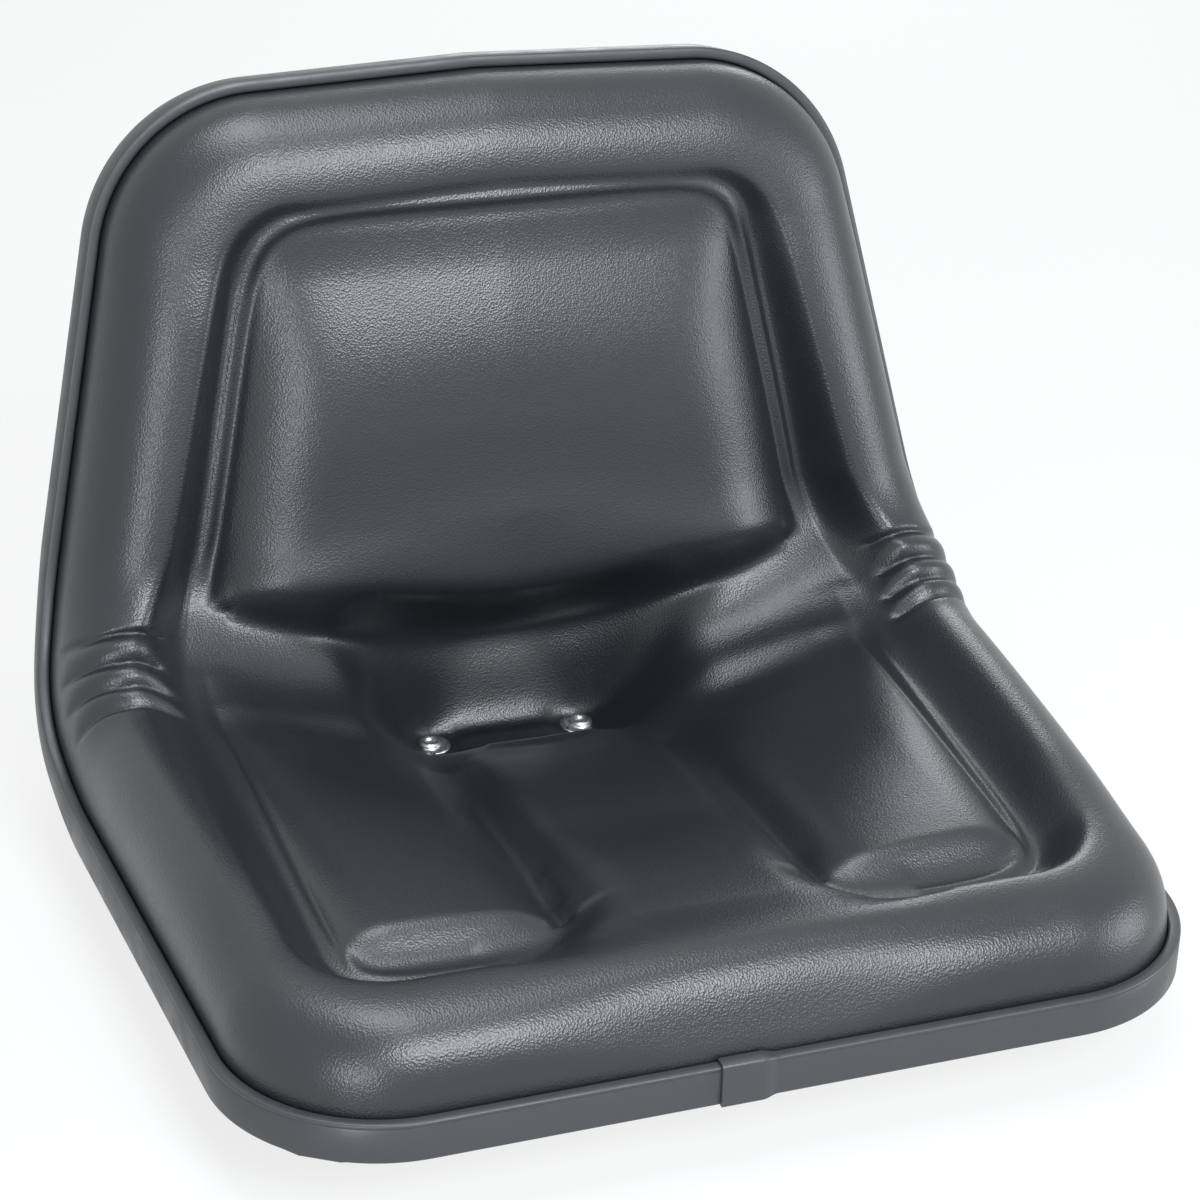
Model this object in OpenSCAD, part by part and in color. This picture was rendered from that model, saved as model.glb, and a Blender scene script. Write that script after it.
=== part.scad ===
// Bucket seat for a small tractor or ride-on mower.
// A pressed steel pan carries a moulded foam core under a formed vinyl skin.
// One U-shaped plastic strip is pressed over the pan lip and holds the edge of the skin.
// The seat faces -Y, X runs across it and z = 0 is the mounting face under the pan.
// A place on the bent rim is given as u across, v along the side profile from the
// front edge, and n at right angles to the profile, towards the person who sits.

/* [Rim] */
// Overall width at the hips, over the trim
seat_w = 500; // [470:5:540]
// Width at the front edge, over the trim, before the corners are rounded
front_w = 448; // [420:4:470]
// Width at the top edge, over the trim, before the corners are rounded
top_w = 374; // [340:2:410]
// Straight length of the rim from the front edge to the bend
seat_len = 276; // [260:4:310]
// Radius of the rim where the seat turns up into the back
bend_r = 114; // [100:2:130]
// Lean of the back from upright, in degrees
back_lean = 10.7; // [6:0.1:16]
// Straight length of the rim from the bend to the top edge
back_len = 215; // [195:5:260]
// Radius of the front corners
front_corner_r = 73; // [60:1:85]
// Radius of the top corners
top_corner_r = 84; // [70:1:95]
// Radius of the widest part of the rim beside the bend
hip_r = 200; // [150:10:260]
// Rise of the top edge at its middle
top_bow = 6; // [3:0.5:9]

/* [Pan] */
// Height of the rim above the mounting face
pan_depth = 52; // [48:1:64]
// Thickness of the sheet steel
pan_t = 1.5; // [1.2:0.1:2]
// Height of the upturned lip
lip_h = 13; // [11:0.5:15]
// Width of the sloped skirt between the lip and the flat floor
pan_slope_w = 72; // [66:1:80]
// Radius of the pan where its floor turns up into the back
pan_bend_r = 80; // [70:1:90]
// Width of the bolt pattern
bolt_x = 286; // [254:2:292]
// Depth of the bolt pattern
bolt_y = 203; // [180:1:210]
// Diameter of the bolt holes
bolt_d = 8.6; // [6.6:0.2:10.4]
// Diameter of the drain holes
drain_d = 10; // [6:1:14]

/* [Edge trim] */
// Wall of the strip
trim_t = 1.9; // [1.5:0.1:2.3]
// Height of the outer leg below the rim line
trim_h = 17; // [15:0.5:20]
// Height of the inner leg below the rim line
trim_inner_h = 8; // [6:0.5:9]
// Height of the rolled top edge above the rim line
trim_bead = 1.6; // [1.2:0.1:2.2]
// Length of the lap where the two ends meet
trim_lap = 19; // [14:1:30]
// Distance of the lap from the middle of the front, to the left
trim_lap_x = 4; // [2:1:30]

/* [Cushion] */
// Thickness of the vinyl skin
skin_t = 1.2; // [1:0.1:1.4]
// Width of the bolster along the sides
bolster_w = 62; // [54:1:66]
// Width of the bolster along the front edge
front_bolster_w = 58; // [54:1:64]
// Width of the bolster along the top edge
top_bolster_w = 64; // [56:1:70]
// Height of the bolster beside the seat, above the rim
bolster_h = 50; // [44:1:54]
// Height of the bolster at the front edge
front_bolster_h = 40; // [34:1:44]
// Height of the bolster at the top edge
top_bolster_h = 43; // [36:1:48]
// Height of the two thigh pads above the ledge round them, more at their front
thigh_pad_h = 8; // [5:0.5:9]
// Height of the raised middle of the seat above the ledges
pommel_h = 9; // [5:0.5:11]
// Width of the raised middle of the seat
pommel_w = 84; // [76:1:90]
// Height of the back pad above the ledge round it
back_pad_h = 21; // [15:1:25]
// Depth of the hollow behind the raised middle, below the rim
recess_d = 60; // [56:0.5:61]
// Depth of the pleats at the hips
pleat_d = 5; // [2:0.5:6]

/* [Rivets] */
// Distance between the two rivets
rivet_x = 84; // [80:1:92]
// Diameter of the washers
washer_d = 22; // [20:0.5:24]
// Diameter of the rivet shanks
rivet_d = 6.4; // [5:0.2:7]

/* [Hidden] */

gap = 0.3;
lip_in = gap + trim_t + gap;
lip_out = lip_in + pan_t;
trim_out = lip_out + gap + trim_t;
trim_web = 0.9;
chord_room = 0.7;
lip_top = -trim_web - gap - chord_room;
pommel_side = 12;
pad_from = 24;
pad_side = 9;
hw_hip = seat_w / 2 - trim_out;
hw_front = front_w / 2 - trim_out;
hw_top = top_w / 2 - trim_out;
turn = 90 - back_lean;
arc_len = bend_r * turn * PI / 180;
v_bend = seat_len;
v_up = seat_len + arc_len;
v_top = v_up + back_len;
v_hip = seat_len + arc_len / 2;
pan_mid_y = 210;

// Smooth step, and smooth curve through stations [x, value]
function sm(x) = x <= 0 ? 0 : x >= 1 ? 1 : x * x * (3 - 2 * x);
function mix(a, b, t) = a + (b - a) * t;
function slope(T, i) = i == 0 || i == len(T) - 1 ? 0 :
    (T[i + 1][1] - T[i - 1][1]) / (T[i + 1][0] - T[i - 1][0]);
function seg_of(x, T, i = 0) = i >= len(T) - 2 || x < T[i + 1][0] ? i : seg_of(x, T, i + 1);
function herm(t, a, b, ma, mb) = let (t2 = t * t, t3 = t2 * t)
    a * (2 * t3 - 3 * t2 + 1) + ma * (t3 - 2 * t2 + t) + b * (3 * t2 - 2 * t3) + mb * (t3 - t2);
function spl(x, T) = x <= T[0][0] ? T[0][1] : x >= T[len(T) - 1][0] ? T[len(T) - 1][1] :
    let (i = seg_of(x, T), w = T[i + 1][0] - T[i][0])
    herm((x - T[i][0]) / w, T[i][1], T[i + 1][1], slope(T, i) * w, slope(T, i + 1) * w);

// Point [y, z] of a profile of line, arc, line at height n over it
function prof(v, n, a, r, th) = let (t = v <= a ? 0 : min(th, (v - a) / r * 180 / PI),
    c = v - a - r * th * PI / 180, e = min(v, a))
    [e + r * sin(t) - n * sin(t) + max(0, c) * cos(th),
     r - r * cos(t) + n * cos(t) + max(0, c) * sin(th)];
function place(p) = [p[0], p[1] - pan_mid_y, p[2] + pan_depth];
function on_rim(u, v, n) = let (p = prof(v, n, seat_len, bend_r, turn)) place([u, p[0], p[1]]);

// Outline with rounded corners, from the middle of the front to the middle of the top.
// Each corner is [u, v, radius, segments of its arc, segments of the line that follows].
function unit(a) = a / norm(a);
function arc_pts(p, c, q, r, k) = let (a = unit(p - c), b = unit(q - c),
    h = acos(a * b) / 2, m = c + unit(a + b) * r / sin(h),
    s = c + a * r / tan(h) - m, e = c + b * r / tan(h) - m,
    s0 = atan2(s[1], s[0]), d = atan2(e[1], e[0]) - s0, w = d > 180 ? d - 360 : d < -180 ? d + 360 : d)
    [for (i = [0:k]) m + r * [cos(s0 + w * i / k), sin(s0 + w * i / k)]];
function xy(q) = [q[0], q[1]];
function corner_pts(Q) = [for (i = [0:len(Q) - 1]) Q[i][2] == 0 ? [xy(Q[i])] :
    arc_pts(xy(Q[i - 1]), xy(Q[i]), xy(Q[i + 1]), Q[i][2], Q[i][3])];
// The segments of a line are a count, or the list of u where its points lie.
function steps(k, a, b) = is_list(k) ? [for (u = k) (u - a[0]) / (b[0] - a[0])]
    : [for (j = [1:1:k - 1]) j / k];
function half_line(Q) = let (A = corner_pts(Q)) [for (i = [0:len(Q) - 1]) let (n = len(A[i]))
    each concat([for (j = [0:n - 1]) A[i][j]], i == len(Q) - 1 ? []
        : let (a = A[i][n - 1], b = A[i + 1][0]) [for (t = steps(Q[i][4], a, b)) mix(a, b, t)])];
function loop_of(H) = concat(H, [for (i = [len(H) - 2:-1:1]) [-H[i][0], H[i][1]]]);
function out_dir(L, i) = let (n = len(L), d = L[(i + 1) % n] - L[(i + n - 1) % n]) unit([d[1], -d[0]]);
function grown(L, o) = [for (i = [0:len(L) - 1]) L[i] + o * out_dir(L, i)];

// Width of the rim and of the well inside the bolster, at place v
well_front = 14;
well_hip = 4;
well_top = 11;
function side_u(v) = lookup(v, [[0, hw_front], [v_hip, hw_hip], [v_top, hw_top]]);
function well_w(v) = lookup(v, [[0, hw_front - bolster_w + well_front],
    [v_hip, hw_hip - bolster_w - well_hip], [v_top - top_bolster_w, hw_top - bolster_w + well_top]]);

// Columns of points beside the rivets, the raised middle and the pads, drawn in at the top
cols = [15, rivet_x / 2 - washer_d / 2 - 1, pommel_w / 2 - 1, rivet_x / 2 + washer_d / 2 + 1,
    pommel_w / 2 + pad_from, pommel_w / 2 + pad_from + pad_side + 1, 100];
cols_top = 0.74;
n_cols = len(cols);
// Segments along half of a loop: front, corner, side, approach to the hip, hip, end of the bend,
// side of the back, corner, top
fine = [n_cols + 1, 6, 5, 6, 8, 3, 3, 6, n_cols + 1];
function front_steps(S) = S == fine ? cols : S[0];
function top_steps(S) = S == fine ? [for (i = [n_cols - 1:-1:0]) cols[i] * cols_top] : S[8];
coarse = [3, 6, 4, 2, 6, 2, 3, 6, 3];
function rim_loop(S) = loop_of(half_line([[0, 0, 0, 0, front_steps(S)],
    [hw_front, 0, front_corner_r, S[1], S[2]], [side_u(v_bend), v_bend, 0, 0, S[3]],
    [hw_hip, v_hip, hip_r, S[4], S[5]], [side_u(v_up), v_up, 0, 0, S[6]],
    [hw_top, v_top, top_corner_r, S[7], top_steps(S)], [0, v_top + top_bow, 0, 0, 0]]));
rim = rim_loop(fine);
rim_low = rim_loop(coarse);
well_r = 30;
well_q = [[0, front_bolster_w, 0, 0, front_steps(fine)],
    [hw_front - bolster_w + well_front, front_bolster_w, well_r, fine[1], fine[2]],
    [well_w(v_bend), v_bend, 0, 0, fine[3]],
    [hw_hip - bolster_w - well_hip, v_hip + 6, hip_r, fine[4], fine[5]],
    [well_w(v_up), v_up, 0, 0, fine[6]],
    [hw_top - bolster_w + well_top, v_top - top_bolster_w, well_r, fine[7], top_steps(fine)],
    [0, v_top - top_bolster_w + top_bow, 0, 0, 0]];
well = loop_of(half_line(well_q));

// Grid inside a loop: its edge is the loop itself, its inside is blended from the four sides
function grid_x(L) = let (S = len(L) == len(rim) ? fine : coarse) 2 * S[0] + S[1];
function grid_y(L) = len(L) / 2 - grid_x(L);
function edge_id(i, j, n, x) = let (h = x / 2, y = n / 2 - x)
    j == 0 ? (i - h + n) % n : j == y ? h + y + x - i : i == x ? h + j : i == 0 ? n - h - j : -1;
function patch(L, i, j, n, x) = let (y = n / 2 - x, a = i / x, b = j / y)
    mix(L[edge_id(i, 0, n, x)], L[edge_id(i, y, n, x)], b)
    + mix(L[edge_id(0, j, n, x)], L[edge_id(x, j, n, x)], a)
    - mix(mix(L[edge_id(0, 0, n, x)], L[edge_id(x, 0, n, x)], a),
          mix(L[edge_id(0, y, n, x)], L[edge_id(x, y, n, x)], a), b);
function inside(L) = let (n = len(L), x = grid_x(L), y = grid_y(L))
    [for (j = [1:y - 1]) for (i = [1:x - 1]) patch(L, i, j, n, x)];
// The same with its inner columns at their own places
function col_u(s, v) = s == 0 ? 0 : cols[s - 1] * mix(1, cols_top, sm((v - v_up + 30) / 120));
function in_columns(L) = let (n = len(L), x = grid_x(L), y = grid_y(L), h = x / 2)
    [for (j = [1:y - 1]) for (i = [1:x - 1]) let (p = patch(L, i, j, n, x), s = abs(i - h),
        m = min(s, n_cols), q = patch(L, h + m, j, n, x), k = (h - s) / (h - m))
        [p[0] + sign(i - h) * k * (col_u(m, p[1]) - abs(q[0])), p[1]]];

// Faces of a skin of rings followed by the inside grid; base is the first point's index
function ring_faces(L, rings, base, flip) = let (n = len(L))
    [for (k = [0:1:rings - 2]) for (i = [0:n - 1])
    let (a = base + k * n + i, b = base + k * n + (i + 1) % n)
    each flip ? [[a, a + n, b], [b, a + n, b + n]] : [[a, b, a + n], [b, b + n, a + n]]];
function grid_id(i, j, n, x, rings, base) = let (e = edge_id(i, j, n, x))
    e >= 0 ? base + (rings - 1) * n + e : base + rings * n + (j - 1) * (x - 1) + i - 1;
function grid_faces(L, rings, base, flip) = let (n = len(L), x = grid_x(L), y = grid_y(L))
    [for (j = [0:y - 1]) for (i = [0:x - 1])
    let (a = grid_id(i, j, n, x, rings, base), b = grid_id(i + 1, j, n, x, rings, base),
         c = grid_id(i + 1, j + 1, n, x, rings, base), d = grid_id(i, j + 1, n, x, rings, base))
    each flip ? [[a, c, b], [a, d, c]] : [[a, b, c], [a, c, d]]];
function skin_faces(L, rings, base, flip) =
    concat(ring_faces(L, rings, base, flip), grid_faces(L, rings, base, flip));

// Where a point of the fine loop meets the coarse one
function low_id(i, k = 0, f = 0, c = 0) = i > len(rim) / 2 ? len(rim_low) - low_id(len(rim) - i) :
    k == len(fine) - 1 || i <= f + fine[k] ? c + round((i - f) * coarse[k] / fine[k])
    : low_id(i, k + 1, f + fine[k], c + coarse[k]);

// Height of the well floor along its middle and along its edge, and in the hollow
pad_foot_v = v_bend + 88;
lumbar_v = v_bend + 68;
back_v = v_bend + 125;
mid_line = [[front_bolster_w, 19], [100, 17], [150, 14], [200, 8], [v_bend - 26, -2], [v_bend + 14, -14],
    [v_bend + 36, -27], [lumbar_v, -28], [pad_foot_v, -14], [back_v, 15], [v_top, 15]];
edge_line = [[front_bolster_w, 20], [100, 24], [170, 29], [238, 34], [v_bend + 14, 36], [lumbar_v, 30],
    [pad_foot_v, 25], [back_v, 16], [v_top, 15]];
crest_line = [[70, front_bolster_h], [150, mix(front_bolster_h, bolster_h, 0.75)],
    [v_bend + 40, bolster_h + 1], [v_up, bolster_h - 1], [v_top - 110, bolster_h - 3],
    [v_top - 60, top_bolster_h]];
hollow_line = [[v_bend + 30, -22], [v_bend + 36, -28], [v_bend + 44, 22 - recess_d],
    [v_bend + 49, 7 - recess_d], [v_bend + 55, 2 - recess_d], [v_bend + 62, -recess_d], [lumbar_v + 1, -recess_d - 11],
    [lumbar_v + 5.5, -recess_d - 11], [lumbar_v + 9.5, -recess_d - 6], [lumbar_v + 13, 7 - recess_d],
    [lumbar_v + 18, -20], [lumbar_v + 22, -5], [lumbar_v + 28, 8], [back_v, 15]];
function bulge(v) = 2 - 1.05 * sm((v - v_bend - 10) / 35);
function floor_n(u, v) = mix(spl(v, mid_line), spl(v, edge_line),
    pow(min(1, abs(u) / well_w(v)), bulge(v)));

// A raised area rolls over from a steep foot; d is the distance inside its foot
function roll_up(d, reach, p) = d <= 0 ? 0 : d >= reach ? 1 : pow(1 - pow(1 - d / reach, p), 1 / p);
function soft_min(D, r) = -r * ln(sum_of([for (d = D) exp(-d / r)]));
function sum_of(L) = L * [for (x = L) 1];

function pommel_half(v) = pommel_w / 2 + pommel_side - 2 + 30 * pow(max(0, 97 - v) / 43, 2);
function pommel(u, v) = pommel_h * roll_up(pommel_half(v) - abs(u), 16, 2) * sm((v_bend + 50 - v) / 12)
    * sm((v - front_bolster_w + 20) / 24);
function thigh_rear(u) = v_bend + 48 + 22 * pow((abs(u) - 79) / 85, 2);
function thigh_pad(u, v) = let (a = abs(u), d = soft_min([a - pommel_w / 2 - pad_from,
        well_w(v) - pad_side + 1 - a, v - front_bolster_w - pad_side + 1, (thigh_rear(u) - v) * 0.7], 5))
    thigh_pad_h * (1 + 0.4 * sm((240 - v) / 150)) * roll_up(d, 20, 2);
function pad_foot(u) = pad_foot_v + 32 * pow(min(1.2, abs(u) / 150), 2);
function back_pad(u, v) = let (a = abs(u), d = soft_min([well_w(v) - a, v - pad_foot(u),
        v_top - top_bolster_w + top_bow - v], 7))
    (back_pad_h + 8 * sm((v_up + 40 - v) / 80)) * roll_up(d - 3, 27, 2.2);
function in_hollow(u, v) = (1 - sm((abs(u) - 48) / 30)) * sm((v - v_bend - 34) / 8)
    * sm((v_bend + 108 - v) / 12);
function well_n(u, v) = mix(floor_n(u, v), spl(v, hollow_line), in_hollow(u, v))
    + pommel(u, v) + thigh_pad(u, v) + back_pad(u, v);

// Bolster from the rim to the well: a steep rounded outer wall, a crest and a softer inner wall
function bolster_n(x, w, crest, foot) = let (c = w * 0.47, s = (x - c) / (w - c))
    x <= c ? crest * pow(1 - pow(1 - x / c, 2.2), 1 / 2.2)
    : crest - (crest - foot) * s * s * (1.6 - 0.6 * s);

// The skin is drawn level and flat under each washer, up to the foot of the wall behind it
rivet_y = v_bend + 89;
washer_z = -37.5;
level_room = 9;
wall_pull = 0.4;
flat_room = 27;
function seat_flat(p, off) = let (d = norm([abs(p[0]) - rivet_x / 2, p[1] + pan_mid_y - rivet_y,
        max(0, abs(p[2] - pan_depth - washer_z) - level_room) / wall_pull]),
    k = sm((washer_d / 2 + flat_room - d) / 5)) [p[0], p[1], mix(p[2], washer_z + pan_depth - off, k)];

// Pleats cross the bolster where the sides turn up into the back. Each lies at one point of the loop.
pleat_first = fine[0] + fine[1] + fine[2] + 3;
pleat_at = [pleat_first, pleat_first + 3, pleat_first + 7, pleat_first + 10];
function pleat(i, t) = let (k = i > len(rim) / 2 ? len(rim) - i : i)
    len(search(k, pleat_at)) > 0 ? pleat_d * sm(t / 0.05) * sm((0.8 - t) / 0.2) : 0;

// Surface of the cushion, off below its outer face
ring_t = [0, 0.025, 0.09, 0.19, 0.33, 0.5, 0.67, 0.84, 1];
function cushion(off) = let (C = grown(rim, -off))
    concat([for (t = ring_t) for (i = [0:len(rim) - 1]) let (p = mix(C[i], well[i], t),
        w = norm(well[i] - C[i]), k = off * sm(t / 0.3))
        seat_flat(on_rim(p[0], p[1], bolster_n(t * w, w, spl(well[i][1], crest_line),
            well_n(well[i][0], well[i][1])) - pleat(i, t) - k), k)],
    [for (p = in_columns(well)) seat_flat(on_rim(p[0], p[1], well_n(p[0], p[1]) - off), off)]);

// Pan: a lip at the rim, a sloped skirt and a floor that turns up into a flat back
pan_turn = 87;
pan_flat = v_bend + 76;
pan_up = pan_flat + pan_bend_r * pan_turn * PI / 180;
pan_top = pan_up + back_len + 33;
floor_q = [[0, pan_slope_w + 10, 0, 0, coarse[0]],
    [hw_front - pan_slope_w + 24, pan_slope_w + 10, 34, coarse[1], coarse[2]],
    [hw_hip - pan_slope_w, pan_flat - 40, 0, 0, coarse[3]],
    [hw_hip - pan_slope_w, pan_flat + 40, 0, 0, coarse[4]],
    [hw_hip - pan_slope_w - 6, pan_up + 20, 0, 0, coarse[5] + coarse[6]],
    [hw_top - pan_slope_w + 34, pan_top, 40, coarse[7], coarse[8]],
    [0, pan_top, 0, 0, 0]];
floor_loop = loop_of(half_line(floor_q));
function on_floor(u, w, n) = let (p = prof(w, n, pan_flat, pan_bend_r, pan_turn))
    place([u, p[0], p[1] - pan_depth]);
pan_ring_t = [0.06, 0.25, 0.5, 0.75, 1];
function at_corner(i) = let (d = out_dir(rim_low, i)) max(0, -2 * abs(d[0]) * d[1]);
function pan_rings(n) = let (S = grown(rim_low, lip_in - 2))
    [for (t = pan_ring_t) for (i = [0:len(rim_low) - 1])
        let (a = on_rim(S[i][0], S[i][1], -lip_h - 4 + n - 5 * at_corner(i)),
             b = on_floor(floor_loop[i][0], floor_loop[i][1], n), k = mix(t, sm(t), 0.8))
        [mix(a[0], b[0], t), mix(a[1], b[1], mix(t, k, t > 0.99 ? 0 : 0.35)), mix(a[2], b[2], k)]];
function pan_inside(n) = [for (p = inside(floor_loop)) on_floor(p[0], p[1], n)];
function rim_ring(L, o, n, dip = 0) = let (G = grown(L, o))
    [for (i = [0:len(L) - 1]) on_rim(G[i][0], G[i][1], n - (dip == 0 ? 0 : dip * at_corner(i)))];

rivet_at = [rivet_x / 2, rivet_y - pan_mid_y];
module at_bolts() for (x = [-1, 1]) for (y = [-1, 1])
    translate([x * bolt_x / 2, y * bolt_y / 2, 0]) children();
module at_rivets() for (x = [-1, 1]) translate([x * rivet_at[0], rivet_at[1], 0]) children();

module seat_pan() color([0.45, 0.46, 0.48]) difference() {
    L = rim_low;
    pts = concat(rim_ring(L, lip_out, lip_top), rim_ring(L, lip_out, -lip_h, 4),
        rim_ring(L, lip_out - 1.4, -lip_h - 3, 5), pan_rings(0), pan_inside(0),
        rim_ring(L, lip_in, lip_top), rim_ring(L, lip_in, -lip_h + 0.6, 4),
        rim_ring(L, lip_in - 1.2, -lip_h - 1.6, 5), pan_rings(pan_t), pan_inside(pan_t));
    rings = 3 + len(pan_ring_t);
    n = len(L);
    half = len(pts) / 2;
    polyhedron(pts, concat(skin_faces(L, rings, 0, false), skin_faces(L, rings, half, true),
        [for (i = [0:n - 1]) let (j = (i + 1) % n)
            each [[i, half + i, j], [j, half + i, half + j]]]), convexity = 10);
    at_bolts() translate([0, 0, -1]) cylinder(d = bolt_d, h = pan_t + 2, $fn = 48);
    for (x = [-1, 1]) translate([x * 60, 20, -1]) cylinder(d = drain_d, h = pan_t + 2, $fn = 48);
    at_rivets() translate([0, 0, -1]) cylinder(d = rivet_d + 2 * gap, h = 12, $fn = 48);
}

nut_d = 16;
nut_h = 6.5;
module foam_core() color([0.86, 0.8, 0.62]) difference() {
    top_off = skin_t + gap;
    top = cushion(top_off);
    b = len(top);
    n = len(rim);
    polyhedron(concat(top, rim_ring(rim_low, -top_off - chord_room, -lip_h + 0.5), pan_rings(pan_t + gap),
            pan_inside(pan_t + gap)),
        concat(skin_faces(rim, len(ring_t), 0, true), skin_faces(rim_low, 1 + len(pan_ring_t), b, false),
        [for (i = [0:n - 1]) let (j = (i + 1) % n, p = b + low_id(i) % len(rim_low),
            q = b + low_id(i + 1) % len(rim_low))
            each p == q ? [[i, j, p]] : [[i, j, p], [j, q, p]]]), convexity = 10);
    at_bolts() translate([0, 0, -1]) cylinder(d = nut_d + 3, h = pan_t + nut_h + 3, $fn = 48);
    at_rivets() translate([0, 0, -1]) cylinder(d = rivet_d + 2 * gap, h = 60, $fn = 48);
}

module vinyl_cover() color([0.13, 0.13, 0.15]) difference() {
    outer = concat(rim_ring(rim, 0, -trim_inner_h), cushion(0));
    inner = concat(rim_ring(rim, -skin_t, -trim_inner_h), cushion(skin_t));
    b = len(outer);
    n = len(rim);
    rings = 1 + len(ring_t);
    polyhedron(concat(outer, inner), concat(skin_faces(rim, rings, 0, true),
        skin_faces(rim, rings, b, false),
        [for (i = [0:n - 1]) let (j = (i + 1) % n)
            each [[i, j, b + i], [j, b + j, b + i]]]), convexity = 10);
    at_rivets() translate([0, 0, -1]) cylinder(d = rivet_d + 2 * gap, h = 60, $fn = 48);
}

// The strip follows the rim with short steps round the corners and the bend.
// It starts as a raised end, runs right round and finishes under that end.
trim_path = let (T = loop_of(half_line([[0, 0, 0, 0, 2], [hw_front, 0, front_corner_r, 10, 3],
        [side_u(v_bend - 6), v_bend - 6, 0, 0, 6], [hw_hip, v_hip, hip_r, 6, 6],
        [side_u(v_up + 6), v_up + 6, 0, 0, 3], [hw_top, v_top, top_corner_r, 10, 2],
        [0, v_top + top_bow, 0, 0, 0]])), x0 = -trim_lap_x)
    concat([[x0 - trim_lap, 0, 1], [x0 - trim_lap / 2, 0, 1], [x0 + 0.6, 0, 1], [x0 + 6, 0, 0]],
        [for (i = [1:len(T) - 1]) [T[i][0], T[i][1], 0]], [[x0, 0, 0]]);
function trim_section(up) = let (a = gap, b = gap + trim_t - chord_room, c = lip_out + gap,
    d = trim_out, h = trim_bead,
    f = up ? d + gap / 2 : 0)
    up ? [[f + trim_t, -trim_h - 0.4], [f + trim_t, h + 0.5], [f + trim_t * 0.7, h + 1.4],
        [f + 0.3, h + 1.9], [a + 2, h + 1.9], [a + 0.9, h + 1.7], [a + 0.4, h + 1.1], [a + 0.3, h + 0.7],
        [a + 0.4, h + 0.3], [a + 1, h + gap / 2], [f, h + gap / 2], [f, -trim_h - 0.4]]
    : [[d, -trim_h], [d, h - 1.2], [d - 0.5, h - 0.35], [d - 1.4, h], [a + 1.3, h], [a + 0.4, h - 0.35],
        [a, h - 1.1], [a, -trim_inner_h], [b, -trim_inner_h], [b, -trim_web], [c, -trim_web], [c, -trim_h]];
function path_dir(P, i) = let (n = len(P), p = P[max(0, i - 1)], q = P[min(n - 1, i + 1)],
    d = i <= 3 || i == n - 1 ? [1, 0] : [q[0] - p[0], q[1] - p[1]]) unit([d[1], -d[0]]);
module edge_trim() color([0.2, 0.2, 0.22]) {
    P = trim_path;
    m = len(trim_section(false));
    n = len(P);
    pts = [for (i = [0:n - 1]) let (o = path_dir(P, i)) for (q = trim_section(P[i][2] == 1))
        on_rim(P[i][0] + o[0] * q[0], P[i][1] + o[1] * q[0], q[1])];
    polyhedron(pts, concat([[for (j = [m - 1:-1:0]) j]], [[for (j = [0:m - 1]) (n - 1) * m + j]],
        [for (i = [0:n - 2]) for (j = [0:m - 1]) let (a = i * m + j, b = i * m + (j + 1) % m)
            each [[a, b, a + m], [b, b + m, a + m]]]), convexity = 10);
}

module weld_nuts() color([0.62, 0.63, 0.65]) at_bolts() translate([0, 0, pan_t]) difference() {
    cylinder(d = nut_d, h = nut_h, $fn = 6);
    translate([0, 0, -1]) cylinder(d = bolt_d - 0.6, h = nut_h + 2, $fn = 48);
}

// Dished washer and hollow domed rivet, the same on both sides
washer_t = 1.2;
function washer_low() = washer_z + pan_depth + gap;
module washer() translate([0, rivet_at[1], washer_low()]) rotate_extrude($fn = 64)
    polygon([[rivet_d / 2 + gap, 0.4], [washer_d / 2 - 2, 0.4], [washer_d / 2 - 0.6, 0],
        [washer_d / 2, 0.3], [washer_d / 2 - 0.4, 0.9], [washer_d / 2 - 2.4, 0.4 + washer_t],
        [rivet_d / 2 + gap, 0.4 + washer_t]]);
rivet_foot = 0.3;
module rivet() let (r = rivet_d / 2, z = washer_low() + 0.4 + washer_t)
    translate([0, rivet_at[1], 0]) rotate_extrude($fn = 64)
    polygon([[0, rivet_foot], [r * 1.6, rivet_foot], [r * 1.6, rivet_foot + 1], [r, rivet_foot + 1.1], [r, z],
        [r * 2, z], [r * 1.95, z + 0.9], [r * 1.6, z + 1.8], [r * 1.1, z + 2.1], [r * 0.85, z + 1.7],
        [r * 0.55, z + 0.6], [0, z + 0.5]]);
module left_washer() color([0.78, 0.79, 0.8]) translate([-rivet_at[0], 0, 0]) washer();
module right_washer() color([0.78, 0.79, 0.8]) translate([rivet_at[0], 0, 0]) washer();
module left_rivet() color([0.86, 0.87, 0.88]) translate([-rivet_at[0], 0, 0]) rivet();
module right_rivet() color([0.86, 0.87, 0.88]) translate([rivet_at[0], 0, 0]) rivet();

seat_pan();
foam_core();
vinyl_cover();
edge_trim();
weld_nuts();
left_washer();
right_washer();
left_rivet();
right_rivet();
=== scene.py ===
import math
import bmesh
import bpy
import numpy as np
from mathutils import Matrix, Vector


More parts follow.
